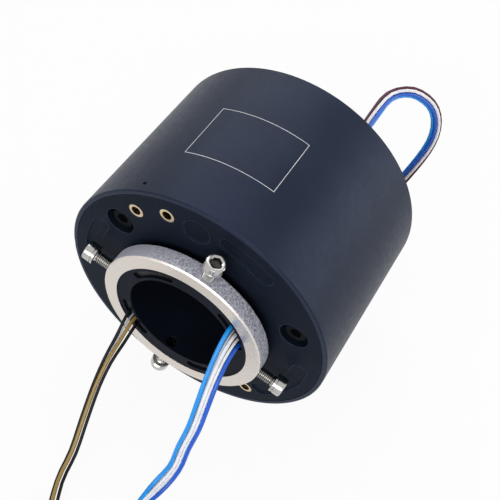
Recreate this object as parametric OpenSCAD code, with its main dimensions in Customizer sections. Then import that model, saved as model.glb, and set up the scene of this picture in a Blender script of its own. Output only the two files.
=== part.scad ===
// Through-bore slip ring: a wired rotor tube on two thin-section bearings
// inside a fixed housing with brushes.
// The axis lies along Y and the front looks toward -Y. The origin is on the
// axis, in the plane of the housing's front rim.

/* [Housing] */
// Radial space between the conductor rings and the housing
gear_space = 22.25; // [20.5:0.25:30]
// Wall of the housing between the covers
housing_wall = 3.5; // [2.5:0.5:4.5]
// Wall of the rim that stands round each cover
rim_wall = 2; // [1.5:0.25:2.25]
// Chamfer on the outer edge of each rim
rim_chamfer = 0.5; // [0.3:0.1:1]

/* [Covers] */
// Thickness of a cover at its hub and bosses
cover_t = 10; // [9.6:0.2:12]
// Thickness of a cover between its ribs
cover_web = 6.5; // [5:0.5:8]
// Lip of a cover that holds the bearing
cover_lip = 3; // [2:0.25:3.2]
// Wall of the hub round the bearing
hub_wall = 4.9; // [3.5:0.1:5.2]
// Width of the shadow gap round a cover
rim_gap = 0.25; // [0.2:0.05:0.5]
// Depth of the shadow gap round a cover
rim_gap_depth = 0.8; // [0.5:0.1:1.5]
// Depth of the shallow pockets in the front cover
pocket_depth = 0.8; // [0.4:0.1:1.2]

/* [Rotor tube] */
// Diameter of the shaft bore
bore_d = 50; // [30:1:80]
// Wall of the tube
tube_wall = 6.75; // [6.25:0.25:9]
// Width of a lead channel in the tube wall
channel_w = 3.4; // [2.8:0.1:3.6]
// Wall between the shaft bore and a lead channel
channel_inset = 1.4; // [1:0.1:1.6]
// Arc that a lead channel covers, in degrees
channel_arc = 44; // [30:1:50]
// How far the tube stands out behind the housing
tube_tail = 2; // [1:0.5:10]
// Radial height of the tube's shoulder
shoulder_h = 1.75; // [1:0.25:2]

/* [Clamp collar] */
// Wall of the clamp collar
collar_wall = 6.35; // [5:0.05:7]
// Length of the clamp collar
collar_len = 8; // [7:0.5:12]
// Space between the housing's rim and the collar
collar_gap = 3.5; // [2:0.5:8]
// How far the tube's end lies behind the collar's face
tube_setback = 0.5; // [0.2:0.1:1]
// Diameter of the clamp screws
clamp_screw_d = 5; // [4:0.5:5]
// Length of the clamp screws under the head
clamp_screw_len = 20; // [18:1:30]
// Distance of a clamp screw's tip from the shaft bore
clamp_tip_gap = 0.5; // [0.2:0.1:2]

/* [Bearings] */
// Radial section of a bearing
bearing_section = 6.35; // [6:0.05:6.6]
// Width of a bearing
bearing_w = 6.35; // [5:0.05:6.4]
// Diameter of a ball
ball_d = 3.175; // [2.8:0.025:3.2]
// Number of balls in a bearing
ball_count = 18; // [12:1:24]

/* [Ring stack] */
// Number of circuits
ring_count = 8; // [3:1:8]
// Width of a conductor ring
ring_w = 4; // [3.6:0.1:6]
// Radial wall of a conductor ring
ring_wall = 5; // [4:0.25:6]
// Width of an insulating spacer
spacer_w = 3; // [2:0.1:4]
// Radial wall of an insulating spacer
spacer_wall = 7; // [6.5:0.25:8]
// Length of the sleeve between the last spacer and the rear bearing
sleeve_len = 5.65; // [3:0.05:20]

/* [Brush gear] */
// Width of a brush block across the radius
block_w = 12; // [10:0.5:14]
// Space between the rings and a brush block
block_gap = 3.75; // [3:0.25:4.5]
// Space between a brush block and the housing
board_space = 7.5; // [6:0.25:9]
// Length of a brush along the axis
brush_w = 2.8; // [2:0.1:3]
// Width of a brush across the radius
brush_tan = 5; // [4:0.25:6]
// Thickness of a terminal board
board_t = 1.6; // [1:0.2:2]
// Thickness of a brush spring
spring_t = 0.3; // [0.2:0.05:0.5]

/* [Fasteners and inserts] */
// Diameter of a tie post
post_d = 12; // [10:0.5:13]
// Diameter of the cover screws
cover_screw_d = 6; // [5:0.5:6]
// Length of the cover screws under the head
cover_screw_len = 20; // [12:1:25]
// Diameter of a counterbore for a cover screw
counterbore_d = 13; // [12:0.5:13.5]
// Distance of a tie post's middle from the housing's inner wall
post_edge = 10.6; // [10:0.1:12]
// Distance of an insert's middle from the housing's inner wall
insert_edge = 7; // [6:0.5:9]
// Outside diameter of a threaded insert
insert_d = 6.6; // [6:0.1:7]
// Bore of a threaded insert
insert_bore = 4.2; // [3.3:0.1:5]
// Length of a threaded insert
insert_len = 8; // [5:0.5:9]

/* [Leads] */
// Diameter of a bundle of rotor leads
rotor_bundle_d = 3.2; // [2:0.1:3.3]
// Diameter of the bundle of stator leads
stator_bundle_d = 5.6; // [4:0.1:6]
// Diameter of a coil of leads at mid-turn
coil_d = 24; // [20:1:28]
// Thickness of a coil tie
tie_t = 0.8; // [0.5:0.1:1]
// Distance of the lead exit from the housing's inner wall
exit_edge = 9; // [8.8:0.1:9.2]

/* [Hidden] */
$fn = 96;
eps = 0.01;
cut = 1;                      // how far a cutter reaches past a face
fit = 0.05;                   // running clearance, radial
slot_step = 0.02;             // step between a slot's arc and its round ends

// Radii of the main pieces
bore_r = bore_d / 2;
tube_r = bore_r + tube_wall;
ring_r = tube_r + ring_wall;
inner_r = ring_r + gear_space;
housing_r = inner_r + housing_wall;
cover_r = housing_r - rim_wall;
bearing_r = tube_r + bearing_section;
hub_r = bearing_r + hub_wall;
web_r = inner_r - 2;
shoulder_r = tube_r + shoulder_h;
spacer_r = tube_r + spacer_wall;
collar_r = tube_r + collar_wall;
channel_r = bore_r + channel_inset + channel_w / 2;
channel_angles = [25, 115, 205, 295];
led_channels = [25, 205];

// Stations along the axis, measured forward from the front rim
tube_front = collar_gap + collar_len - tube_setback;
front_bearing = -cover_lip - bearing_w;
shoulder_step = 2;
shoulder_back = -cover_t - shoulder_step;
stack_len = ring_count * ring_w + (ring_count + 1) * spacer_w;
stack_back = shoulder_back - stack_len;
sleeve_back = stack_back - sleeve_len;
rear_bearing = sleeve_back - bearing_w;
housing_len = cover_lip - rear_bearing;
tube_back = -housing_len - tube_tail;
ring_pitch = ring_w + spacer_w;

// Bearing parts
pitch_r = tube_r + bearing_section / 2;
ball_r = ball_d / 2;
groove_r = ball_r + 0.06;
race_gap = ball_d * 0.6;
inner_race_r = pitch_r - race_gap / 2;
outer_race_r = pitch_r + race_gap / 2;
cage_t = 0.85;
cage_w = ball_d + 1.5;
race_chamfer = 0.3;

// Tie posts and cover screws
post_r = inner_r - post_edge;
post_angles = [13.4, 133.4, 253.4];
post_front = -cover_t;
post_len = housing_len - 2 * cover_t;
head_seat = cover_t - 2.5;
cover_head_d = cover_screw_d * 10 / 6;
post_boss_r = counterbore_d / 2 + 2.5;

// Threaded inserts, in two pairs opposite each other
insert_r = inner_r - insert_edge;
insert_boss = 2;
insert_angles = [100.6, 118, 280.6, 298];

// Shallow pockets that thin the front cover's face
pocket_w = 7.2;
pocket_edge = 7.1;
pocket_r = inner_r - pocket_edge;
pocket_arcs = [[144, 172.6], [45.7, 74.2], [-56.5, -9.5]];
recess_d = 12;
recess_edge = 9.8;
recess_r = inner_r - recess_edge;
recess_angle = 85.7;

// Marks on the housing: an index notch on its rim and a locating hole
notch = [0.6, 4.5, 1];        // depth, width, length
notch_angle = 175;
locating_d = 1.8;
locating_at = [110.6, -4.8];  // angle and station

// Brush gear, between the tie posts
block_angles = [73.4, 193.4];
block_in = ring_r + block_gap;
block_out = inner_r - board_space;
block_h = block_out - block_in;
brush_in = ring_r + fit;
brush_out = block_out - 5;
tenon_len = 3;
tenon_h = 5;
tenon_w = 8;
tenon_mid = (hub_r + block_out) / 2 + 0.6;
pad_w = block_w + 3;
slot_play = 0.1;
board_inset = 0.5;
board_screw_r = 1.25;
board_screw_z = 3;
board_screw_hole = 7;

// Lead exit through the rear cover
exit_r = inner_r - exit_edge;
exit_angle = 52;
grommet_r = 5;
grommet_flange_r = 6.3;
grommet_flange_t = 1.2;
grommet_bore_r = stator_bundle_d / 2 - 0.4;

// Clamp screws, between the lead channels
clamp_angles = [70, 160, 250, 340];
clamp_z = collar_gap + collar_len / 2;
clamp_head_d = clamp_screw_d * 1.7;
clamp_tip_r = bore_r + clamp_tip_gap;
clamp_hole_r = clamp_screw_d / 2 + fit;

// Leads: the surface that the object lies on, and each route by hand
floor_z = -housing_r;
lead_sides = 8;
coil_base = floor_z + tie_t;
coil_mid = coil_base + 3;
coil_right = [24, -80];       // centres, [x, y]
coil_left = [-24, -106];
coil_rear = [-4, 116];
coil_right_size = [10, 6];    // sections, [width, height]
coil_left_size = [6, 6];
coil_rear_size = [7, 7.4];
potting_face = tube_front - 1;
potting_len = 12;

// Turns the axis onto Y, with the front toward -Y
module on_axis() {
    rotate([90, 0, 0]) children();
}

// Places a child at a radius and an angle round the axis
module at_polar(radius, angle) {
    rotate([0, 0, angle]) translate([radius, 0, 0]) children();
}

// Places a child lying along the radius, its own Z outward
module along_radius(angle, z) {
    rotate([0, 0, angle]) translate([0, 0, z]) rotate([0, 90, 0]) children();
}

// A plain ring between two radii
module ring(inner, outer, length) {
    difference() {
        cylinder(r = outer, h = length);
        translate([0, 0, -cut]) cylinder(r = inner, h = length + 2 * cut);
    }
}

// A ring with chamfers on its outer edges
module chamfered_ring(inner, outer, length, chamfer) {
    rotate_extrude()
        polygon([
            [inner, 0], [outer - chamfer, 0], [outer, chamfer],
            [outer, length - chamfer], [outer - chamfer, length], [inner, length]
        ]);
}

// An arc-shaped slot with round ends, a hair wider than its arc
module arc_slot(radius, width, from, to, depth) {
    end = asin(width / 2 / radius);
    arc_w = width - 2 * slot_step;
    rotate([0, 0, from + end])
        rotate_extrude(angle = to - from - 2 * end)
            translate([radius - arc_w / 2, 0]) square([arc_w, depth]);
    at_polar(radius, from + end) rotate([0, 0, -90]) cylinder(d = width, h = depth);
    at_polar(radius, to - end) rotate([0, 0, 90]) cylinder(d = width, h = depth);
}

// A socket-head screw, head up, the seat of its head at z = 0
module socket_screw(shank_d, head_d, length) {
    head_h = shank_d;
    chamfer = head_d * 0.06;
    tip = shank_d * 0.1;
    difference() {
        rotate_extrude()
            polygon([
                [0, -length], [shank_d / 2 - tip, -length],
                [shank_d / 2, -length + tip], [shank_d / 2, 0],
                [head_d / 2, 0], [head_d / 2, head_h - chamfer],
                [head_d / 2 - chamfer, head_h], [0, head_h]
            ]);
        translate([0, 0, head_h / 2])
            cylinder(r = shank_d * 0.8 / sqrt(3), h = head_h, $fn = 6);
    }
}

// ---- Housing and covers ----

module housing() color("#2d323e") on_axis() {
    difference() {
        translate([0, 0, -housing_len])
            chamfered_ring(inner_r, housing_r, housing_len, rim_chamfer);
        for (z = [-cover_t, -housing_len - cut])
            translate([0, 0, z]) cylinder(r = cover_r, h = cover_t + cut);
        rotate([0, 0, notch_angle])
            translate([housing_r - notch[0], -notch[1] / 2, -notch[2]])
                cube([notch[0] + cut, notch[1], notch[2] + cut]);
        along_radius(locating_at[0], locating_at[1])
            translate([0, 0, housing_r - rim_wall * 0.75]) cylinder(d = locating_d, h = rim_wall);
    }
}

// What both covers share: outer face at z = 0, inner side toward -Z
module cover_body(hole_r) {
    difference() {
        union() {
            translate([0, 0, -cover_t])
                cylinder(r = cover_r, h = cover_t - rim_gap_depth);
            translate([0, 0, -rim_gap_depth])
                rotate_extrude()
                    polygon([
                        [0, 0], [cover_r - rim_gap, 0],
                        [cover_r - rim_gap, rim_gap_depth - rim_gap],
                        [cover_r - 2 * rim_gap, rim_gap_depth], [0, rim_gap_depth]
                    ]);
        }
        translate([0, 0, -cover_t - cut]) cylinder(r = hole_r, h = cover_t + 2 * cut);
        translate([0, 0, -cover_t - cut]) cylinder(r = bearing_r, h = cover_t + cut - cover_lip);
        translate([0, 0, -cover_t - cut]) difference() {
            ring(hub_r, web_r, cover_t - cover_web + cut);
            for (a = post_angles) at_polar(post_r, a) cylinder(r = post_boss_r, h = cover_t);
            for (a = block_angles)
                rotate([0, 0, a]) translate([hub_r - 1, -pad_w / 2, 0])
                    cube([web_r - hub_r + 2, pad_w, cover_t]);
            children(0);
        }
        for (a = post_angles) at_polar(post_r, a) {
            translate([0, 0, -head_seat]) cylinder(d = counterbore_d, h = cover_t);
            translate([0, 0, -cover_t - cut])
                cylinder(d = cover_screw_d + 0.4, h = cover_t + cut);
        }
        for (a = block_angles) rotate([0, 0, a])
            translate([tenon_mid - tenon_h / 2 - fit, -tenon_w / 2 - fit, -cover_t - cut])
                cube([tenon_h + 2 * fit, tenon_w + 2 * fit, tenon_len + cut]);
        children(1);
    }
}

module front_cover() color("#2b3338") on_axis() {
    cover_body(tube_r + 0.65) {
        for (a = insert_angles) at_polar(insert_r, a)
            cylinder(d = insert_d + 2 * insert_boss, h = cover_t);
        union() {
            for (a = insert_angles) at_polar(insert_r, a)
                translate([0, 0, -insert_len]) cylinder(d = insert_d, h = insert_len + cut);
            translate([0, 0, -pocket_depth]) {
                for (arc = pocket_arcs)
                    arc_slot(pocket_r, pocket_w, arc[0], arc[1], pocket_depth + cut);
                at_polar(recess_r, recess_angle) cylinder(d = recess_d, h = pocket_depth + cut);
            }
        }
    }
}

module rear_cover() color("#2b3338") on_axis() {
    translate([0, 0, -housing_len]) mirror([0, 0, 1])
        cover_body(tube_r + 3.05) {
            at_polar(exit_r, exit_angle) cylinder(r = eps, h = eps);
            at_polar(exit_r, exit_angle)
                translate([0, 0, -cover_t - cut]) cylinder(r = grommet_r, h = cover_t + 2 * cut);
        }
}

module threaded_inserts() color("#c9b27a") on_axis() {
    for (a = insert_angles) at_polar(insert_r, a)
        translate([0, 0, -insert_len])
            ring(insert_bore / 2, insert_d / 2, insert_len - 0.15);
}

module tie_posts() color("silver") on_axis() {
    for (a = post_angles) at_polar(post_r, a)
        translate([0, 0, post_front - post_len]) difference() {
            cylinder(d = post_d, h = post_len);
            for (z = [-cut, post_len - cover_screw_len + 1])
                translate([0, 0, z])
                    cylinder(d = cover_screw_d, h = cover_screw_len - 1 + cut);
        }
}

module cover_screws() color("#3a3d42") on_axis() {
    for (a = post_angles) at_polar(post_r, a) {
        translate([0, 0, -head_seat])
            socket_screw(cover_screw_d - 0.2, cover_head_d, cover_screw_len);
        translate([0, 0, -housing_len + head_seat]) mirror([0, 0, 1])
            socket_screw(cover_screw_d - 0.2, cover_head_d, cover_screw_len);
    }
}

module lead_grommet() color("#18191b") on_axis() {
    at_polar(exit_r, exit_angle)
        translate([0, 0, -housing_len]) rotate_extrude()
            polygon([
                [grommet_bore_r, -grommet_flange_t], [grommet_flange_r - 0.4, -grommet_flange_t],
                [grommet_flange_r, -grommet_flange_t + 0.4], [grommet_flange_r, 0],
                [grommet_r, 0], [grommet_r, cover_web],
                [grommet_flange_r, cover_web], [grommet_flange_r, cover_web + grommet_flange_t],
                [grommet_bore_r, cover_web + grommet_flange_t]
            ]);
}

// ---- Brush gear ----

// Axial station of a conductor ring's middle
function ring_mid(i) = shoulder_back - spacer_w - ring_w / 2 - i * ring_pitch;

module brush_block(side) color("#c8b48a") on_axis() {
    span = housing_len - 2 * cover_t;
    rotate([0, 0, block_angles[side]]) difference() {
        union() {
            translate([block_in, -block_w / 2, -cover_t - span])
                cube([block_h, block_w, span]);
            translate([tenon_mid - tenon_h / 2, -tenon_w / 2, -cover_t - span - tenon_len])
                cube([tenon_h, tenon_w, span + 2 * tenon_len]);
        }
        for (i = [0:ring_count - 1])
            translate([block_in - cut, -brush_tan / 2 - slot_play,
                       ring_mid(i) - brush_w / 2 - slot_play])
                cube([block_h + 2 * cut, brush_tan + 2 * slot_play, brush_w + 2 * slot_play]);
        for (z = [-cover_t - board_screw_z, -cover_t - span + board_screw_z])
            translate([block_out - board_screw_hole, 0, z]) rotate([0, 90, 0])
                cylinder(r = board_screw_r, h = board_screw_hole + cut);
    }
}

module brush_set(side) color("#5a4a3c") on_axis() {
    rotate([0, 0, block_angles[side]])
        for (i = [0:ring_count - 1]) difference() {
            translate([ring_r - 1, -brush_tan / 2, ring_mid(i) - brush_w / 2])
                cube([brush_out - ring_r + 1, brush_tan, brush_w]);
            translate([0, 0, ring_mid(i) - brush_w]) cylinder(r = brush_in, h = 2 * brush_w);
        }
}

// A bent strip: its crown rests on the brush, its legs on the board
module spring_set(side) color("#d8b070") on_axis() {
    arch_r = brush_tan / 2 - slot_play;
    leg = block_out - brush_out - arch_r;
    rotate([0, 0, block_angles[side]])
        for (i = [0:ring_count - 1])
            translate([brush_out + arch_r, 0, ring_mid(i) - brush_w / 2])
                linear_extrude(brush_w) {
                    difference() {
                        circle(r = arch_r);
                        circle(r = arch_r - spring_t);
                        translate([0, -2 * arch_r]) square(4 * arch_r);
                    }
                    for (y = [-arch_r, arch_r - spring_t])
                        translate([-eps, y]) square([leg + eps, spring_t]);
                }
}

module terminal_board(side) color("#1f5f3c") on_axis() {
    span = housing_len - 2 * cover_t - 2 * board_inset;
    rotate([0, 0, block_angles[side]]) difference() {
        translate([block_out, -block_w / 2, -cover_t - board_inset - span])
            cube([board_t, block_w, span]);
        for (z = [-cover_t - board_screw_z, -housing_len + cover_t + board_screw_z])
            translate([block_out - cut, 0, z]) rotate([0, 90, 0])
                cylinder(r = board_screw_r, h = board_t + 2 * cut);
        for (i = [0:ring_count - 1])
            translate([block_out - cut, block_w / 2 - 2, ring_mid(i)]) rotate([0, 90, 0])
                cylinder(d = 1.2, h = board_t + 2 * cut);
    }
}

module board_screws() color("silver") on_axis() {
    for (a = block_angles)
        for (z = [-cover_t - board_screw_z, -housing_len + cover_t + board_screw_z])
            rotate([0, 0, a]) translate([block_out + board_t, 0, z]) rotate([0, 90, 0])
                rotate_extrude()
                    polygon([
                        [0, -7], [board_screw_r - fit, -7], [board_screw_r - fit, 0],
                        [2.25, 0], [2.25, 1.2], [1.5, 1.7], [0, 1.7]
                    ]);
}

// ---- Bearings ----

// Each bearing piece stands on z = 0 and is moved to its seat
module seat_bearing(front) {
    z = front ? front_bearing : rear_bearing;
    on_axis() translate([0, 0, z]) children();
}

module ball_groove() {
    translate([0, 0, bearing_w / 2])
        rotate_extrude() translate([pitch_r, 0]) circle(r = groove_r, $fn = 48);
}

module outer_race(front) color("#b9bcc0") seat_bearing(front) difference() {
    chamfered_ring(outer_race_r, bearing_r, bearing_w, race_chamfer);
    ball_groove();
}

module inner_race(front) color("#b9bcc0") seat_bearing(front) difference() {
    ring(tube_r, inner_race_r, bearing_w);
    ball_groove();
}

module balls(front) color("#d9dbde") seat_bearing(front) {
    for (i = [0:ball_count - 1])
        at_polar(pitch_r, i * 360 / ball_count)
            translate([0, 0, bearing_w / 2]) sphere(r = ball_r);
}

module cage(front) color("#b08d4a") seat_bearing(front) difference() {
    translate([0, 0, (bearing_w - cage_w) / 2])
        ring(pitch_r - cage_t / 2, pitch_r + cage_t / 2, cage_w);
    for (i = [0:ball_count - 1])
        along_radius(i * 360 / ball_count, bearing_w / 2)
            translate([0, 0, pitch_r - 2]) cylinder(r = ball_r + fit, h = 4);
}

// ---- Rotor ----

// The outline of a lead channel, one at each angle
module channels(angles, from, length) {
    for (a = angles)
        translate([0, 0, from])
            arc_slot(channel_r, channel_w, a - channel_arc / 2, a + channel_arc / 2, length);
}

module rotor_tube() color("#2d323e") on_axis() {
    difference() {
        union() {
            translate([0, 0, tube_back]) cylinder(r = tube_r, h = tube_front - tube_back);
            translate([0, 0, shoulder_back])
                cylinder(r = shoulder_r, h = front_bearing - shoulder_back);
        }
        translate([0, 0, tube_back - cut])
            cylinder(r = bore_r, h = tube_front - tube_back + 2 * cut);
        channels(channel_angles, stack_back, tube_front - stack_back + cut);
        // one lead hole from a channel to each conductor ring
        for (i = [0:ring_count - 1])
            along_radius(led_channels[i % 2], ring_mid(i))
                translate([0, 0, channel_r]) cylinder(d = 2.2, h = tube_r);
        for (a = clamp_angles) along_radius(a, clamp_z)
            translate([0, 0, bore_r - 2]) cylinder(r = clamp_hole_r, h = tube_r);
        // groove for the retaining ring
        translate([0, 0, rear_bearing - 1.25])
            ring(tube_r - 0.9, tube_r + cut, 1.25);
    }
}

module clamp_collar() color("#8a8f99") on_axis() {
    translate([0, 0, collar_gap]) difference() {
        chamfered_ring(tube_r, collar_r, collar_len, 0.6);
        for (a = clamp_angles) along_radius(a, clamp_z - collar_gap)
            translate([0, 0, tube_r - 2]) cylinder(r = clamp_hole_r, h = collar_wall + 4);
    }
}

module channel_potting() color("#101113") on_axis()
    channels(channel_angles, potting_face - potting_len, potting_len);

module clamp_screw(n) color("#c8cacd") on_axis() {
    along_radius(clamp_angles[n - 1], clamp_z)
        translate([0, 0, clamp_tip_r + clamp_screw_len])
            socket_screw(clamp_screw_d, clamp_head_d, clamp_screw_len);
}

// A conductor ring with two brush grooves
module conductor_ring(n) color("#caa24a") on_axis() {
    if (n <= ring_count)
        translate([0, 0, ring_mid(n - 1) - ring_w / 2])
            rotate_extrude()
                polygon([
                    [tube_r, 0], [ring_r, 0], [ring_r, ring_w * 0.2],
                    [ring_r - 0.6, ring_w * 0.3], [ring_r, ring_w * 0.4],
                    [ring_r, ring_w * 0.6], [ring_r - 0.6, ring_w * 0.7],
                    [ring_r, ring_w * 0.8], [ring_r, ring_w], [tube_r, ring_w]
                ]);
}

module spacer_ring(n) color("#d9d6cc") on_axis() {
    if (n <= ring_count + 1)
        translate([0, 0, shoulder_back - spacer_w - (n - 1) * ring_pitch])
            chamfered_ring(tube_r, spacer_r, spacer_w, 0.3);
}

module end_sleeve() color("#8a8f99") on_axis()
    translate([0, 0, sleeve_back]) ring(tube_r, shoulder_r, sleeve_len);

// A sprung ring, open between two eyes
module retaining_ring() color("#6a6e74") on_axis() {
    inner = tube_r - 0.9;
    translate([0, 0, rear_bearing - 1.2]) difference() {
        union() {
            ring(inner, tube_r + 1.4, 1.2);
            for (a = [-8, 8]) at_polar(tube_r + 0.6, 270 + a) cylinder(r = 1.6, h = 1.2);
        }
        for (a = [-8, 8]) at_polar(tube_r + 0.8, 270 + a)
            translate([0, 0, -cut]) cylinder(r = 0.75, h = 4);
        translate([0, 0, -cut]) cylinder(r = inner, h = 4);
        rotate([0, 0, 270]) translate([0, -2.2, -cut]) cube([2 * tube_r, 4.4, 4]);
    }
}

// ---- Leads ----

function unit(v) = v / norm(v);

// A smooth curve through the route's points
function spline(p, i, t) =
    let (a = p[max(i - 1, 0)], b = p[i], c = p[i + 1], d = p[min(i + 2, len(p) - 1)])
    0.5 * (2 * b + (c - a) * t + (2 * a - 5 * b + 4 * c - d) * t * t
           + (3 * b - a - 3 * c + d) * t * t * t);
function smooth_route(p, steps) = concat(
    [for (i = [0:len(p) - 2]) for (k = [0:steps - 1]) spline(p, i, k / steps)],
    [p[len(p) - 1]]
);

// A round tube swept along a route, square to the start direction
module swept_tube(route, start, radius, across) {
    n = len(route);
    rings = [
        for (i = [0:n - 1])
            let (
                dir = i == 0 ? start : unit(route[min(i + 1, n - 1)] - route[i - 1]),
                u = unit(across - (across * dir) * dir),
                v = cross(dir, u)
            )
            for (k = [0:lead_sides - 1])
                route[i] + radius * (u * cos(k * 360 / lead_sides)
                                     + v * sin(k * 360 / lead_sides))
    ];
    sides = [
        for (i = [0:n - 2]) for (k = [0:lead_sides - 1])
            let (m = (k + 1) % lead_sides, a = i * lead_sides, b = a + lead_sides)
            [a + k, a + m, b + m, b + k]
    ];
    first = [for (k = [lead_sides - 1:-1:0]) k];
    last = [for (k = [0:lead_sides - 1]) (n - 1) * lead_sides + k];
    polyhedron(points = rings, faces = concat([first], sides, [last]));
}

right_start = [channel_r * cos(25), -potting_face, channel_r * sin(25)];
right_route = [
    right_start, right_start - [0, 4, 0.5],
    [25, -20, 6], [25, -28, -2], [24.6, -34, -11], [23, -39, -23],
    [19.5, -43, -37], [17, -48, -50], [13, -59, coil_mid], [10.5, -73, coil_mid]
];
left_start = [channel_r * cos(205), -potting_face, channel_r * sin(205)];
left_route = [
    left_start, left_start - [0, 4, 0.5],
    [-26, -21, -17], [-27, -30, -23], [-28, -39, -32], [-28, -50, -43],
    [-27, -62, -53], [-26, -75, coil_mid], [-17, -94, coil_mid], [-13, -103, coil_mid]
];
rear_start = [exit_r * cos(exit_angle), housing_len - cover_web - 2, exit_r * sin(exit_angle)];
rear_route = [
    rear_start, rear_start + [0, 12, 0], rear_start + [0, 26, 0.5],
    [31, 122, 38], [38, 132, 36], [46, 138, 28], [50, 140, 17], [50, 138, 5],
    [46, 130, -7], [38, 121, -24], [28, 113, -42], [18, 108, -54], [4, 106, coil_mid]
];

module rotor_leads_right() color("#1e90dc")
    swept_tube(smooth_route(right_route, 2), [0, -1, 0], rotor_bundle_d / 2, [1, 0, 0]);

module rotor_leads_left() color("#1b1b1d")
    swept_tube(smooth_route(left_route, 2), [0, -1, 0], rotor_bundle_d / 2, [1, 0, 0]);

module stator_leads() color("#f2f2f2")
    swept_tube(smooth_route(rear_route, 2), [0, 1, 0], stator_bundle_d / 2, unit([-1, 1, 1]));

// A flat coil lying on the surface: its centre [x, y] and its section
module lead_coil(centre, size) {
    corner = 2;
    translate([centre[0], centre[1], coil_base])
        rotate_extrude() translate([(coil_d - size[0]) / 2, 0]) {
            translate([corner, 0]) square([size[0] - 2 * corner, size[1]]);
            translate([0, corner]) square([size[0], size[1] - 2 * corner]);
            for (x = [corner, size[0] - corner]) for (y = [corner, size[1] - corner])
                translate([x, y]) circle(r = corner);
        }
}

module lead_coil_right() color("#1e90dc") lead_coil(coil_right, coil_right_size);
module lead_coil_left() color("#1b1b1d") lead_coil(coil_left, coil_left_size);
module lead_coil_rear() color("#f2f2f2") lead_coil(coil_rear, coil_rear_size);

// A cable tie round a coil's section, with its head and cut tail
module coil_tie(centre, size, turn) {
    strap_w = 3;
    head = [3, 4.6, 4.2];
    slack = 0.3;
    hold = size[0] + slack;
    outside = coil_d / 2 + size[0] / 2 + tie_t;
    translate([centre[0], centre[1], coil_base]) rotate([0, 0, turn]) {
        difference() {
            translate([outside - hold - 2 * tie_t, -strap_w / 2, -tie_t])
                cube([hold + 2 * tie_t, strap_w, size[1] + 2 * tie_t]);
            translate([outside - hold - tie_t, -strap_w / 2 - cut, 0])
                cube([hold, strap_w + 2 * cut, size[1]]);
        }
        translate([outside, -head[1] / 2, size[1] / 2 - head[2] / 2]) cube(head);
        translate([outside + head[0], -strap_w / 2, size[1] / 2 - tie_t / 2])
            cube([3, strap_w, tie_t]);
    }
}

module coil_ties_front() color("#e8e8e8") {
    coil_tie(coil_right, coil_right_size, 270);
    coil_tie(coil_left, coil_left_size, 270);
}

module coil_tie_rear() color("#e8e8e8") coil_tie(coil_rear, coil_rear_size, 90);

housing();
front_cover();
rear_cover();
threaded_inserts();
cover_screws();
tie_posts();
lead_grommet();
brush_block(0);  // brush_block_a
brush_block(1);  // brush_block_b
brush_set(0);  // brushes_a
brush_set(1);  // brushes_b
spring_set(0);  // brush_springs_a
spring_set(1);  // brush_springs_b
terminal_board(0);  // terminal_board_a
terminal_board(1);  // terminal_board_b
board_screws();
outer_race(true);  // bearing_outer_front
outer_race(false);  // bearing_outer_rear
balls(true);  // bearing_balls_front
cage(true);  // ball_cage_front
balls(false);  // bearing_balls_rear
cage(false);  // ball_cage_rear
inner_race(true);  // bearing_inner_front
inner_race(false);  // bearing_inner_rear
rotor_tube();
clamp_collar();
channel_potting();
for (n = [1:4])
    clamp_screw(n);
for (n = [1:8])
    conductor_ring(n);
for (n = [1:9])
    spacer_ring(n);
end_sleeve();
retaining_ring();
rotor_leads_right();
rotor_leads_left();
stator_leads();
lead_coil_right();
lead_coil_left();
lead_coil_rear();
coil_ties_front();
coil_tie_rear();
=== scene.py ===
import math

import bmesh
import bpy
from mathutils import Matrix, Vector


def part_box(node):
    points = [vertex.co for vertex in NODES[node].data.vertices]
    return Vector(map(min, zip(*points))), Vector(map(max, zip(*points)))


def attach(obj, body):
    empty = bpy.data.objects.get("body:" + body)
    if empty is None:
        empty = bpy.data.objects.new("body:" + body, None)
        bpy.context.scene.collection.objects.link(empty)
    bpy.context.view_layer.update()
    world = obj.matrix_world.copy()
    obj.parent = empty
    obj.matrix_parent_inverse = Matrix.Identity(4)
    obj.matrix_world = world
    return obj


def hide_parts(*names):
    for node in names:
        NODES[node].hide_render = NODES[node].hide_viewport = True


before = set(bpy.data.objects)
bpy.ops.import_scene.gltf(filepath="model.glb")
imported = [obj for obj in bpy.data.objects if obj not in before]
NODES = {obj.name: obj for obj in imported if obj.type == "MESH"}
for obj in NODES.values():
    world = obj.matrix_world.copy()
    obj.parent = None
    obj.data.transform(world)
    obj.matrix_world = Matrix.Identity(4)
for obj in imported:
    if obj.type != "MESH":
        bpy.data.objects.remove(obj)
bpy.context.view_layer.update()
MM = 0.001

# Sizes that the solids share with the pieces made here, in millimetres
HOUSING_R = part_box("housing")[1][0] / MM
COLLAR_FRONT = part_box("clamp_collar")[0][1] / MM
FLOOR_Z = -HOUSING_R
CHANNEL_R = 28.1
POTTING_Y = -10.0


# ---- Camera ----

def add_camera():
    data = bpy.data.cameras.new("camera")
    data.sensor_width = 36.0
    data.lens = 62.97
    data.clip_start = 0.01
    camera = bpy.data.objects.new("camera", data)
    camera.location = (0.12966, -0.17954, 0.29853)
    aim = Vector((0.00263, 0.04287, -0.00618)) - camera.location
    camera.rotation_euler = aim.to_track_quat("-Z", "Y").to_euler()
    bpy.context.scene.collection.objects.link(camera)
    bpy.context.scene.camera = camera


add_camera()


# ---- Materials ----

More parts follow.
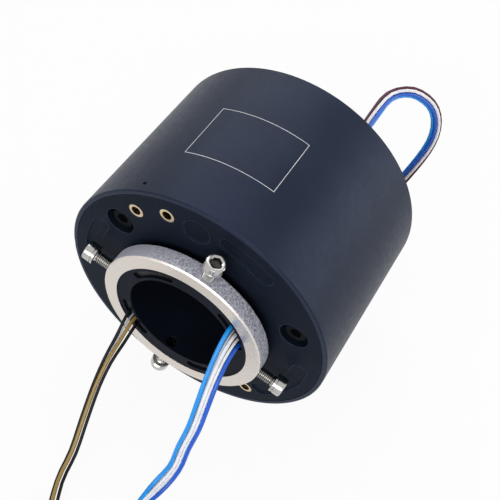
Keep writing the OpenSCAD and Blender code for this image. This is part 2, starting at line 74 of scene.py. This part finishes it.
class Finish:
    """A node material with one shader, and textures on Object coordinates."""

    def __init__(self, name, colour, rough, metal=0.0):
        self.material = bpy.data.materials.new(name)
        self.material.use_nodes = True
        self.nodes = self.material.node_tree.nodes
        self.links = self.material.node_tree.links
        self.shader = self.nodes["Principled BSDF"]
        self.colour = (*colour, 1.0)
        self.shader.inputs["Base Color"].default_value = self.colour
        self.shader.inputs["Roughness"].default_value = rough
        self.shader.inputs["Metallic"].default_value = metal
        self.coords = self.nodes.new("ShaderNodeTexCoord").outputs["Object"]
        self.edges = None
        self.bump_from = None

    def mapped(self, scale):
        node = self.nodes.new("ShaderNodeMapping")
        node.inputs["Scale"].default_value = scale
        self.links.new(self.coords, node.inputs["Vector"])
        return node.outputs["Vector"]

    def noise(self, scale, detail=3.0, where=None):
        node = self.nodes.new("ShaderNodeTexNoise")
        node.inputs["Scale"].default_value = scale
        node.inputs["Detail"].default_value = detail
        self.links.new(where or self.coords, node.inputs["Vector"])
        return node.outputs["Fac"]

    def range(self, value, low, high, start=0.3, end=0.7):
        node = self.nodes.new("ShaderNodeMapRange")
        for name, number in (("From Min", start), ("From Max", end), ("To Min", low), ("To Max", high)):
            node.inputs[name].default_value = number
        self.links.new(value, node.inputs["Value"])
        return node.outputs["Result"]

    def tint(self, value, other):
        """Mixes the colour toward another one by a texture."""
        node = self.nodes.new("ShaderNodeMix")
        node.data_type = "RGBA"
        node.inputs["A"].default_value = self.colour
        node.inputs["B"].default_value = (*other, 1.0)
        self.links.new(value, node.inputs["Factor"])
        self.links.new(node.outputs["Result"], self.shader.inputs["Base Color"])
        return self

    def roughness(self, value, low, high):
        self.links.new(self.range(value, low, high), self.shader.inputs["Roughness"])
        return self

    def bump(self, value, depth):
        """Raises the surface by a texture, depth in metres."""
        node = self.nodes.new("ShaderNodeBump")
        node.inputs["Strength"].default_value = 1.0
        node.inputs["Distance"].default_value = depth
        self.links.new(value, node.inputs["Height"])
        if self.bump_from is not None:
            self.links.new(self.bump_from, node.inputs["Normal"])
        self.bump_from = node.outputs["Normal"]
        self.links.new(self.bump_from, self.shader.inputs["Normal"])
        return self


def soft_edges(f, radius=0.0003):
    """Rounds the look of sharp edges, radius in metres."""
    node = f.nodes.new("ShaderNodeBevel")
    node.samples = 6
    node.inputs["Radius"].default_value = radius
    f.edges = f.bump_from = node.outputs["Normal"]
    f.links.new(f.edges, f.shader.inputs["Normal"])
    return f


def painted_edge_highlight(f, colour):
    """Paints the edges that soft_edges rounds lighter, a painted highlight where they catch the light;
    it comes after the tint.
    """
    turn = f.nodes.new("ShaderNodeVectorMath")
    turn.operation = "DOT_PRODUCT"
    f.links.new(f.edges, turn.inputs[0])
    f.links.new(f.nodes.new("ShaderNodeNewGeometry").outputs["Normal"], turn.inputs[1])
    mix = f.nodes.new("ShaderNodeMix")
    mix.data_type = "RGBA"
    f.links.new(f.range(turn.outputs["Value"], 1, 0, 0.75, 0.97), mix.inputs["Factor"])
    f.links.new(f.shader.inputs["Base Color"].links[0].from_socket, mix.inputs["A"])
    mix.inputs["B"].default_value = (*colour, 1.0)
    f.links.new(mix.outputs["Result"], f.shader.inputs["Base Color"])
    return f


def shine(f, tint, level):
    """Sets the tint and the strength of a finish's shine."""
    f.shader.inputs["Specular Tint"].default_value = (*tint, 1.0)
    f.shader.inputs["Specular IOR Level"].default_value = level
    return f


def anodised(name, colour, rough, level):
    """Fine-blasted aluminium under a dark dyed film."""
    f = soft_edges(shine(Finish(name, colour, rough), (0.45, 0.56, 1.0), level))
    f.tint(f.range(f.noise(45), 0, 1), tuple(c * 1.3 for c in colour))
    # rounded edges painted lighter: a painted highlight along them
    painted_edge_highlight(f, tuple(c * 3.5 for c in colour))
    f.roughness(f.noise(400), rough - 0.04, rough + 0.05)
    f.bump(f.noise(5200, 2), 0.00002)
    return f.material


def wire_insulation(name, colour):
    """Drawn plastic, whose dark colours shine less."""
    f = shine(Finish(name, colour, 0.36), (1, 1, 1), 0.5 if max(colour) > 0.2 else 0.15)
    f.tint(f.range(f.noise(180), 0, 1), tuple(c * 0.88 for c in colour))
    f.bump(f.noise(900, 2), 0.00004)
    return f.material


# ---- Leads ----

STEPS = 3                              # pieces of line between two points of a route
LEAD_LENGTH = 300                      # millimetres, as all sizes of the leads
COIL_BASE = FLOOR_Z + 0.8              # on the coils' ties
SIDE = Vector((0.868, 0.496, 0.0))     # the way in which the front bundles spread
LOOP = Vector((0.843, -0.519, -0.139))  # across the plane of the rear loop


def spline_points(points):
    """A smooth line through the points, as in the solids."""
    line = []
    for i in range(len(points) - 1):
        a, b = points[max(i - 1, 0)], points[i]
        c, d = points[i + 1], points[min(i + 2, len(points) - 1)]
        for k in range(STEPS):
            t = k / STEPS
            line.append(0.5 * (2 * b + (c - a) * t + (2 * a - 5 * b + 4 * c - d) * t * t
                               + (3 * b - a - 3 * c + d) * t * t * t))
    return line + [points[-1]]


def polar(radius, angle, y):
    a = math.radians(angle)
    return Vector((radius * math.cos(a), y, radius * math.sin(a)))


def lead(name, colour, diameter, line, body):
    """One insulated lead along a line in millimetres, with a bare tinned end."""
    curve = bpy.data.curves.new(name, "CURVE")
    curve.dimensions = "3D"
    curve.bevel_depth = diameter / 2 * MM
    curve.bevel_resolution = 3
    curve.use_fill_caps = True
    spline = curve.splines.new("POLY")
    spline.points.add(len(line) - 1)
    for point, place in zip(spline.points, line):
        point.co = (*(place * MM), 1.0)
    obj = bpy.data.objects.new(name, curve)
    bpy.context.scene.collection.objects.link(obj)
    obj.data.materials.append(colour)
    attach(obj, body)
    tip = bare_end(name + "_tip", line[-1], (line[-1] - line[-2]).normalized(), diameter)
    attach(tip, body)
    return obj


def bare_end(name, place, direction, diameter):
    """A stripped and tinned end that starts just inside the insulation."""
    bare, hidden = 5, 0.1
    bm = bmesh.new()
    bmesh.ops.create_cone(bm, cap_ends=True, segments=12, radius1=diameter * 0.28 * MM,
                          radius2=diameter * 0.24 * MM, depth=bare * MM)
    edges = [e for e in bm.edges if all(v.co.z > 0 for v in e.verts)]
    bmesh.ops.bevel(bm, geom=edges, offset=0.15 * MM, segments=2, profile=0.5, affect="EDGES",
                    material=-1)
    turn = direction.to_track_quat("Z", "Y").to_matrix().to_4x4()
    middle = place + direction * (bare / 2 - hidden)
    bmesh.ops.transform(bm, matrix=Matrix.Translation(middle * MM) @ turn, verts=bm.verts)
    mesh = bpy.data.meshes.new(name)
    bm.to_mesh(mesh)
    bm.free()
    obj = bpy.data.objects.new(name, mesh)
    bpy.context.scene.collection.objects.link(obj)
    mesh.materials.append(TIN)
    return obj


def line_length(line):
    return sum((b - a).length for a, b in zip(line, line[1:]))


def follow(route, start, offset, merge, across=SIDE):
    """A wire's own control points: from its start, beside its neighbours along the route."""
    shift = start - route[0]
    line = []
    last = len(route) - 1
    for i, point in enumerate(route):
        ahead = (route[min(i + 1, last)] - route[max(i - 1, 0)]).normalized()
        side = (across - ahead * across.dot(ahead)).normalized()
        up = ahead.cross(side)
        side_by, up_by = offset(i / last)
        t = min(1.0, i / merge)
        t = t * t * (3 - 2 * t)
        line.append(point + shift * (1 - t) + (side * side_by + up * up_by) * t)
    return line


def round_about(radius, angle, twist=0.0, spread=0.0):
    """A place in a round bundle that twists, and loosens in the middle of its run."""
    def offset(t):
        a = math.radians(angle + twist * t)
        r = radius * (1 + spread * math.sin(math.pi * t))
        return r * math.cos(a), r * math.sin(a)
    return offset


def wind(line, centre, radius, height, pitch, angle, way):
    """Winds the rest of a lead into its layer of the coil, from outside to inside."""
    step = math.radians(24)
    made = spline_points(line)
    while line_length(made) < LEAD_LENGTH:
        angle += way * step
        radius -= pitch * step / (2 * math.pi)
        line.append(Vector((centre[0] + radius * math.cos(angle),
                            centre[1] + radius * math.sin(angle), height)))
        made = spline_points(line)
    while line_length(made) > LEAD_LENGTH:
        made.pop()
    return made


def v(*xyz):
    return Vector(xyz)


# Routes of the bundles, as in the solids, in millimetres
RIGHT = [v(25.5, -10, 11.9), v(25.5, -14, 11.4), v(25, -20, 6), v(25, -28, -2), v(24.6, -34, -11),
         v(23, -39, -23), v(19.5, -43, -37), v(17, -48, -50), v(12.5, -58, -58.3)]
LEFT = [v(-25.5, -10, -11.9), v(-25.5, -14, -12.4), v(-26, -21, -17), v(-27, -30, -23),
        v(-28, -39, -32), v(-28, -50, -43), v(-27, -62, -53), v(-26, -75, -58.7), v(-18, -92, -58.7)]
REAR = [v(30.8, 77.5, 39.4), v(30.8, 89.5, 39.4), v(30.8, 103.5, 39.9), v(31, 122, 38),
        v(38, 132, 36), v(46, 138, 28), v(50, 140, 17), v(50, 138, 5), v(46, 130, -7),
        v(38, 121, -24), v(28, 113, -42), v(18, 107, -54)]

WIRES = {
    "sky_blue": (0.002, 0.34, 0.95), "royal_blue": (0.003, 0.11, 0.65), "white": (0.96, 0.965, 0.98),
    "pale_grey": (0.55, 0.58, 0.64), "black": (0.006, 0.006, 0.008), "olive": (0.36, 0.23, 0.05),
    "purple_brown": (0.11, 0.03, 0.06), "dark_grey": (0.06, 0.06, 0.08),
}
TINTS = {name: wire_insulation(name + "_insulation", rgb) for name, rgb in WIRES.items()}
TINNED = Finish("tinned_strands", (0.75, 0.74, 0.7), 0.3, 1.0)
TINNED.roughness(TINNED.noise(900), 0.2, 0.42).bump(TINNED.noise(3000), 0.00006)
TIN = TINNED.material


def rotor_bundle(side, route, wires, coil, nodes):
    """Leads out of their slots of the tube, down to the floor and into a coil.

    A wire is its slot's angle, colour, diameter and place in the bundle, and the coil is its
    centre, outer radius, first angle, way round and leads in a row.
    """
    centre, outer, angle, way, in_row = coil
    pitch = sum(d for _, _, d, _ in wires) / len(wires) + 0.08
    for i, (slot, colour, d, offset) in enumerate(wires):
        line = follow(route, polar(CHANNEL_R, slot, POTTING_Y), offset, 4)
        row, column = i // in_row, i % in_row
        line = wind(line, centre, outer - pitch * column, COIL_BASE + pitch * (row + 0.5),
                    pitch * in_row, math.radians(angle), way)
        lead(f"rotor_lead_{side}_{i + 1}", TINTS[colour], d, line, "rotor")
    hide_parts(*nodes)


def beside(side_by, up_by):
    return lambda t: (side_by, up_by)


rotor_bundle("right", RIGHT,
             ((30, "sky_blue", 1.9, beside(-2.6, 0)), (25.5, "pale_grey", 0.9, beside(-1.3, -0.7)),
              (21, "white", 1.6, beside(-0.6, 0.35)), (15, "white", 1.3, beside(0.75, -0.1)),
              (8.5, "royal_blue", 1.9, beside(2.3, 0.2))),
             ((24, -80), 16.2, 150, 1, 2), ("rotor_leads_right", "lead_coil_right"))
rotor_bundle("left", LEFT,
             ((198, "black", 1.5, round_about(1.45, 175, 15)),
              (203.5, "pale_grey", 0.9, round_about(1.15, 125, 130)),
              (208, "olive", 1.7, round_about(0.75, 80, 50)),
              (214, "black", 1.5, round_about(1.45, 355, 10))),
             ((-24, -106), 14.2, 60, -1, 1), ("rotor_leads_left", "lead_coil_left"))


def rear_bundle():
    """Stator leads round one in the middle, out of the grommet and down into a coil."""
    colours = ("purple_brown", "white", "royal_blue", "sky_blue", "white", "dark_grey",
               "dark_grey", "royal_blue")       # round the bundle, and last the middle one
    d, ring_r, in_row = 1.5, 1.74, 2
    row_rise, column_gap = 1.75, 1.7
    coil_centre, coil_r, coil_from = (-4, 116), 15.2, math.radians(300)
    round_one = len(colours) - 1
    for i, colour in enumerate(colours):
        around = 360 * i / round_one
        out = ring_r if i < round_one else 0.0
        start = REAR[0] + v(math.sin(math.radians(around)), 0, math.cos(math.radians(around))) * out
        line = follow(REAR, start, round_about(out, around - 190, 240, 0.15), 2, LOOP)
        row, column = i // in_row, i % in_row
        line = wind(line, coil_centre, coil_r - column_gap * column, COIL_BASE + 0.9 + row_rise * row,
                    in_row * column_gap, coil_from, -1)
        lead(f"stator_lead_{i + 1}", TINTS[colour], d, line, "stator")
    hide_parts("stator_leads", "lead_coil_rear")


rear_bundle()


# ---- Finishes of the solids ----

def plastic(name, colour, rough, grain=0.00003, tint=(1, 1, 1), level=0.5, edge=0.0):
    """A moulded or coated surface with a fine grain, and rounded edges with a painted highlight where
    edge is given.
    """
    f = shine(Finish(name, colour, rough), tint, level)
    if edge:
        soft_edges(f, edge)
    f.tint(f.range(f.noise(90), 0, 1), tuple(c * 1.3 for c in colour))
    if edge:
        # edges painted lighter: a painted highlight along them
        painted_edge_highlight(f, tuple(c * 12 for c in colour))
    f.roughness(f.noise(700), rough - 0.06, rough + 0.06)
    f.bump(f.noise(3600, 2), grain)
    return f.material


def turned(name, colour, rough=0.28):
    """Metal with the fine marks of turning round the bore's axis."""
    f = Finish(name, colour, rough, 1.0)
    f.tint(f.range(f.noise(70), 0, 1), tuple(c * 0.88 for c in colour))
    f.roughness(f.noise(160), rough - 0.06, rough + 0.08)
    f.bump(f.noise(60, 3, f.mapped((1, 60, 1))), 0.00001)
    return f.material


def bright(name, colour, rough):
    """Polished or plated metal."""
    f = Finish(name, colour, rough, 1.0)
    f.tint(f.range(f.noise(240), 0, 1), tuple(c * 0.85 for c in colour))
    f.roughness(f.noise(800), rough - 0.05, rough + 0.1)
    return f.material


def blasted_collar():
    """Bead-blasted aluminium whose front face and chamfer are turned bright."""
    f = soft_edges(Finish("collar_aluminium", (0.42, 0.43, 0.49), 0.4, 1.0), 0.0002)
    split = f.nodes.new("ShaderNodeSeparateXYZ")
    f.links.new(f.coords, split.inputs["Vector"])
    chamfer, fade = 0.55, 0.15
    side = f.range(split.outputs["Y"], 0, 1, (COLLAR_FRONT + chamfer) * MM,
                   (COLLAR_FRONT + chamfer + fade) * MM)

    def choose(front, back, kind="FLOAT"):
        """One value on the turned front, another on the blasted side."""
        node = f.nodes.new("ShaderNodeMix")
        node.data_type = kind
        for socket, value in (("A", front), ("B", back)):
            port = [s for s in node.inputs if s.name == socket and s.enabled][0]
            if isinstance(value, bpy.types.NodeSocket):
                f.links.new(value, port)
            else:
                port.default_value = value
        f.links.new(side, node.inputs["Factor"])
        return [s for s in node.outputs if s.enabled][0]

    # grit that is coarser on the right half of the ring; its bright and dark specks in the colour are
    # painted glints, strongest there where the highlight falls
    right_half_glints = f.nodes.new("ShaderNodeMix")
    right_half_glints.inputs["A"].default_value = 0.5
    f.links.new(f.range(split.outputs["X"], 0.25, 1, -0.02, 0.012), right_half_glints.inputs["Factor"])
    f.links.new(f.noise(1300, 2), right_half_glints.inputs["B"])
    grit_and_glints = right_half_glints.outputs["Result"]
    # bright and dark specks of colour: painted glints over the blast's own grain, which also sets
    # roughness and bumps
    glint_speck_colour = f.nodes.new("ShaderNodeMix")
    glint_speck_colour.data_type = "RGBA"
    glint_speck_colour.inputs["A"].default_value = (0.33, 0.34, 0.44, 1)
    glint_speck_colour.inputs["B"].default_value = (0.9, 0.9, 1.0, 1)
    f.links.new(f.range(grit_and_glints, 0, 1, 0.34, 0.66), glint_speck_colour.inputs["Factor"])
    f.links.new(choose(1.0, 0.45), f.shader.inputs["Metallic"])
    f.links.new(choose((0.68, 0.63, 0.58, 1), glint_speck_colour.outputs["Result"], "RGBA"),
                f.shader.inputs["Base Color"])
    f.links.new(choose(f.range(f.noise(300), 0.24, 0.34), f.range(grit_and_glints, 0.42, 0.62)),
                f.shader.inputs["Roughness"])
    f.bump(choose(f.range(f.noise(2600, 2), 0, 0.22, 0, 1), grit_and_glints), 0.00012)
    f.bump(choose(f.noise(9000, 1), f.noise(2600, 2)), 0.00003)
    return f.material


ANODISED = anodised("black_anodised", (0.0125, 0.0175, 0.031), 0.42, 0.17)
COVER = {"tint": (0.4, 0.6, 1.0), "level": 0.03, "edge": 0.0004}
FINISHES = {
    "housing": ANODISED,
    "rotor_tube": anodised("rotor_anodised", (0.005, 0.007, 0.012), 0.38, 0.035),
    "front_cover": plastic("cover_moulding", (0.0066, 0.0096, 0.0165), 0.4, **COVER),
    "rear_cover": plastic("rear_cover_moulding", (0.0066, 0.0096, 0.0165), 0.4, **COVER),
    "threaded_inserts": turned("insert_brass", (0.66, 0.53, 0.34), 0.22),
    "cover_screws": plastic("black_oxide", (0.005, 0.006, 0.008), 0.45, 0.00001, level=0.03),
    "tie_posts": turned("post_aluminium", (0.6, 0.61, 0.62)),
    "lead_grommet": plastic("grommet_rubber", (0.012, 0.012, 0.013), 0.62),
    "channel_potting": plastic("potting_resin", (0.004, 0.004, 0.005), 0.3, 0.0001, level=0.2),
    "clamp_collar": blasted_collar(),
    "end_sleeve": turned("sleeve_aluminium", (0.6, 0.61, 0.62)),
    "retaining_ring": plastic("spring_steel", (0.04, 0.042, 0.048), 0.3, 0.00001),
}
FAMILIES = (
    ("brush_block", plastic("brush_block_moulding", (0.6, 0.46, 0.26), 0.5)),
    ("brushes", bright("brush_metal", (0.26, 0.18, 0.12), 0.4)),
    ("brush_springs", bright("spring_bronze", (0.75, 0.5, 0.26), 0.25)),
    ("terminal_board", plastic("board_laminate", (0.01, 0.12, 0.05), 0.3)),
    ("board_screws", bright("zinc_screws", (0.62, 0.62, 0.6), 0.3)),
    ("bearing_", bright("bearing_steel", (0.62, 0.63, 0.65), 0.14)),
    ("ball_cage", turned("cage_brass", (0.62, 0.45, 0.2))),
    ("conductor_ring", turned("ring_brass", (0.78, 0.58, 0.24), 0.2)),
    ("spacer_ring", plastic("spacer_moulding", (0.66, 0.63, 0.55), 0.5)),
    ("coil_tie", plastic("tie_nylon", (0.72, 0.72, 0.69), 0.45)),
    ("clamp_screw", bright("bright_steel", (0.72, 0.72, 0.72), 0.16)),
)


def dress(name, material):
    NODES[name].data.materials.clear()
    NODES[name].data.materials.append(material)


for node in NODES:
    if node in FINISHES:
        dress(node, FINISHES[node])
    for start, material in FAMILIES:
        if node.startswith(start):
            dress(node, material)


# ---- Clamp screws, with their threads and sockets ----

CLAMP_ANGLES = (70, 160, 250, 340)
CLAMP_Y = -7.5
HEAD_SEAT_R = 45.5
SCREW_D, SCREW_LEN = 5.0, 20.0
THREAD_PITCH, THREAD_DEPTH = 0.8, 0.52
HEAD_D, HEAD_H = 8.5, 5.0
HEX_ACROSS, HEX_DEPTH = 4.0, 2.5


def finish_mesh(name, bm, material, body, smooth):
    """Makes an object of a bmesh drawn in millimetres, its faces outward."""
    bmesh.ops.remove_doubles(bm, verts=bm.verts, dist=0.0005)
    bmesh.ops.recalc_face_normals(bm, faces=bm.faces)
    bmesh.ops.scale(bm, vec=(MM, MM, MM), verts=bm.verts)
    mesh = bpy.data.meshes.new(name)
    bm.to_mesh(mesh)
    bm.free()
    obj = bpy.data.objects.new(name, mesh)
    bpy.context.scene.collection.objects.link(obj)
    mesh.materials.append(material)
    mesh.shade_smooth()
    mesh.set_sharp_from_angle(angle=math.radians(smooth))
    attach(obj, body)
    return obj


def spun_profile(bm, profile, segments):
    """Turns a profile of (radius, height) pairs round Z."""
    verts = [bm.verts.new((r, 0, z)) for r, z in profile]
    edges = [bm.edges.new(pair) for pair in zip(verts, verts[1:])]
    bmesh.ops.spin(bm, geom=verts + edges, cent=(0, 0, 0), axis=(0, 0, 1), dvec=(0, 0, 0),
                   angle=2 * math.pi, steps=segments, use_merge=True, use_duplicate=False)


def thread(bm, top, bottom, crest_r, root_r):
    """A thread's flanks, spun with a rise and closed by the turns meeting."""
    segments = 20
    verts = [bm.verts.new((r, 0, bottom + THREAD_PITCH * z)) for r, z in
             ((root_r, 0), (crest_r, 0.3), (crest_r, 0.45), (root_r, 0.75), (root_r, 1))]
    edges = [bm.edges.new(pair) for pair in zip(verts, verts[1:])]
    turns = int((top - bottom) / THREAD_PITCH) - 1
    bmesh.ops.spin(bm, geom=verts + edges, cent=(0, 0, 0), axis=(0, 0, 1),
                   dvec=(0, 0, THREAD_PITCH / segments), angle=2 * math.pi * turns,
                   steps=segments * turns, use_merge=False, use_duplicate=False)


def hex_socket(bm, radius):
    """A hexagon socket in the open top of the head, with a drilled cone at its floor."""
    dished, cone = 0.2, 0.6
    rim = bmesh.ops.create_circle(bm, cap_ends=False, radius=radius, segments=6)["verts"]
    bmesh.ops.translate(bm, verts=rim, vec=(0, 0, HEAD_H - dished))
    rim_edges = list({e for vert in rim for e in vert.link_edges})
    ring = [e for e in bm.edges if e.is_boundary and all(
        abs(vert.co.z - HEAD_H) < 1e-4 for vert in e.verts)]
    bmesh.ops.bridge_loops(bm, edges=rim_edges + ring)
    walls = bmesh.ops.extrude_edge_only(bm, edges=rim_edges)["geom"]
    floor_verts = [g for g in walls if isinstance(g, bmesh.types.BMVert)]
    bmesh.ops.translate(bm, verts=floor_verts, vec=(0, 0, -HEX_DEPTH))
    centre = bm.verts.new((0, 0, HEAD_H - dished - HEX_DEPTH - cone))
    for e in [g for g in walls if isinstance(g, bmesh.types.BMEdge)]:
        if all(vert in floor_verts for vert in e.verts):
            bm.faces.new((*e.verts, centre))


def shade_socket_and_roots(bm, root_r):
    """Gives the socket and the roots of the thread the second, darker steel: painted shade in these
    hollows.
    """
    for face in bm.faces:
        place = face.calc_center_median()
        in_socket = HEAD_H - 0.3 > place.z > 0 and place.xy.length < HEX_ACROSS * 0.55
        in_roots = -0.5 > place.z > 1 - SCREW_LEN and place.xy.length < root_r + 0.12
        if in_socket or in_roots:
            face.material_index = 1


def clamp_screw(number, angle):
    bm = bmesh.new()
    shank_r = SCREW_D / 2
    root_r = shank_r - THREAD_DEPTH
    core_r = root_r - 0.02
    hex_r = HEX_ACROSS / math.sqrt(3)
    # threaded shank, on a plain core, with its cone point
    thread(bm, -0.6, -SCREW_LEN + 0.6, shank_r, root_r)
    spun_profile(bm, [(0, -SCREW_LEN), (shank_r - 0.8, -SCREW_LEN), (core_r, -SCREW_LEN + 0.5),
                      (core_r, -0.9), (shank_r, -0.5), (shank_r, 0)], 32)
    # head: seat ring, groove, smooth side and rounded edge
    side = HEAD_D / 2
    spun_profile(bm, [(shank_r, 0), (side - 0.25, 0), (side, 0.2), (side, 0.95), (side - 0.12, 1.05),
                      (side - 0.45, 1.1), (side - 0.45, 1.3), (side - 0.15, 1.35), (side, 1.5),
                      (side, HEAD_H - 0.65), (side - 0.1, HEAD_H - 0.3), (side - 0.35, HEAD_H - 0.08),
                      (side - 0.65, HEAD_H), (hex_r + 0.45, HEAD_H)], 64)
    hex_socket(bm, hex_r)
    shade_socket_and_roots(bm, root_r)
    turn = Matrix.Rotation(-math.radians(angle), 4, "Y") @ Matrix.Rotation(math.radians(90), 4, "Y")
    bmesh.ops.transform(bm, matrix=Matrix.Translation(polar(HEAD_SEAT_R, angle, CLAMP_Y)) @ turn,
                        verts=bm.verts)
    name = f"clamp_screw_{number}"
    obj = finish_mesh(name + "_threaded", bm, SCREW_STEEL, name, 28)
    obj.data.materials.append(HOLLOW_SHADE_STEEL)
    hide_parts(name)


SCREW_STEEL = bright("clamp_screw_steel", (0.5, 0.49, 0.47), 0.14)
# the second, darker steel is painted shade in the sockets and the thread roots
HOLLOW_SHADE_STEEL = bright("clamp_screw_hollow_shade_steel", (0.12, 0.115, 0.11), 0.35)
for number, angle in enumerate(CLAMP_ANGLES, 1):
    clamp_screw(number, angle)


# ---- Printed frame of the label place ----

def label_frame():
    """A thin white border printed on the housing's side, bare inside."""
    low, high = 68.3, 105.8            # degrees round the housing
    front, back = 25.4, 55.2
    line, ink = 0.26, 0.03
    print_r = HOUSING_R + 0.02
    wide = math.degrees(line / print_r)
    bm = bmesh.new()

    def patch(a0, a1, y0, y1, steps):
        ends = [bm.verts.new(polar(print_r, a0, y)) for y in (y0, y1)]
        bmesh.ops.spin(bm, geom=ends + [bm.edges.new(ends)], cent=(0, 0, 0), axis=(0, -1, 0),
                       dvec=(0, 0, 0), angle=math.radians(a1 - a0), steps=steps, use_merge=False,
                       use_duplicate=False)

    patch(low, high, front, front + line, 48)
    patch(low, high, back - line, back, 48)
    patch(low, low + wide, front, back, 1)
    patch(high - wide, high, front, back, 1)
    bm.normal_update()
    bmesh.ops.reverse_faces(bm, faces=[f for f in bm.faces if f.normal.dot(f.calc_center_median()) < 0])
    bmesh.ops.solidify(bm, geom=bm.faces, thickness=ink)
    obj = finish_mesh("label_border", bm, BORDER_INK, "stator", 35)


BORDER_INK = plastic("white_print", (0.62, 0.62, 0.66), 0.5, 0.000005)
label_frame()


# ---- Floor, light and backdrop ----

FLOOR_GLOW = 0.93                      # share of white in what is seen of the floor
WORLD_LIGHT, WORLD_SEEN = 0.28, 0.95   # what lights the object, and what shows behind it


def seen_rays(tree):
    """One where a ray shows a thing, straight or in a mirror, and nought where it lights one."""
    path = tree.nodes.new("ShaderNodeLightPath")
    seen = path.outputs["Is Camera Ray"]
    for kind in ("Is Glossy Ray", "Is Transmission Ray"):
        either = tree.nodes.new("ShaderNodeMath")
        either.operation = "MAXIMUM"
        tree.links.new(seen, either.inputs[0])
        tree.links.new(path.outputs[kind], either.inputs[1])
        seen = either.outputs["Value"]
    return seen


def add_floor():
    """A matt floor that takes the shadow, and looks nearly white."""
    bm = bmesh.new()
    bmesh.ops.create_grid(bm, x_segments=1, y_segments=1, size=3.0)
    bmesh.ops.translate(bm, verts=bm.verts, vec=(0, 0, FLOOR_Z * MM))
    mesh = bpy.data.meshes.new("floor")
    bm.to_mesh(mesh)
    bm.free()
    floor = bpy.data.objects.new("floor", mesh)
    bpy.context.scene.collection.objects.link(floor)
    material = bpy.data.materials.new("floor_white")
    material.use_nodes = True
    nodes, links = material.node_tree.nodes, material.node_tree.links
    nodes.clear()
    share = nodes.new("ShaderNodeMath")
    share.operation = "MULTIPLY"
    share.inputs[1].default_value = FLOOR_GLOW
    links.new(seen_rays(material.node_tree), share.inputs[0])
    matt = nodes.new("ShaderNodeBsdfDiffuse")
    matt.inputs["Color"].default_value = (0.9, 0.9, 0.9, 1)
    glow = nodes.new("ShaderNodeEmission")
    glow.inputs["Strength"].default_value = 1.0
    mix = nodes.new("ShaderNodeMixShader")
    links.new(share.outputs["Value"], mix.inputs["Fac"])
    links.new(matt.outputs["BSDF"], mix.inputs[1])
    links.new(glow.outputs["Emission"], mix.inputs[2])
    out = nodes.new("ShaderNodeOutputMaterial")
    links.new(mix.outputs["Shader"], out.inputs["Surface"])
    mesh.materials.append(material)


def add_lamp(name, place, aim, size, power):
    data = bpy.data.lights.new(name, "AREA")
    data.shape = "RECTANGLE"
    data.size, data.size_y = size
    data.energy = power
    lamp = bpy.data.objects.new(name, data)
    lamp.location = place
    lamp.rotation_euler = (Vector(aim) - Vector(place)).to_track_quat("-Z", "Y").to_euler()
    bpy.context.scene.collection.objects.link(lamp)


def add_world():
    """Weak light all round, behind which a nearly white studio is seen."""
    world = bpy.data.worlds.new("studio")
    bpy.context.scene.world = world
    world.use_nodes = True
    tree = world.node_tree
    background = tree.nodes["Background"]
    background.inputs["Color"].default_value = (1, 1, 1, 1)
    pale = tree.nodes.new("ShaderNodeMapRange")
    pale.inputs["To Min"].default_value = WORLD_LIGHT
    pale.inputs["To Max"].default_value = WORLD_SEEN
    tree.links.new(seen_rays(tree), pale.inputs["Value"])
    tree.links.new(pale.outputs["Result"], background.inputs["Strength"])


add_floor()
add_world()
for name, place, aim, size, power in (
        ("softbox_top", (-0.2, 0.5, 0.62), (0, 0.04, 0), (0.7, 0.7), 3.3),
        ("softbox_right", (0.66, 0.47, 0.18), (0, 0.04, 0), (0.5, 0.5), 2.3),
        ("softbox_front", (0.1, -0.8, 0.42), (0, 0, 0), (1.1, 0.45), 6)):
    add_lamp(name, place, aim, size, power)

bpy.context.scene.view_settings.view_transform = "Standard"
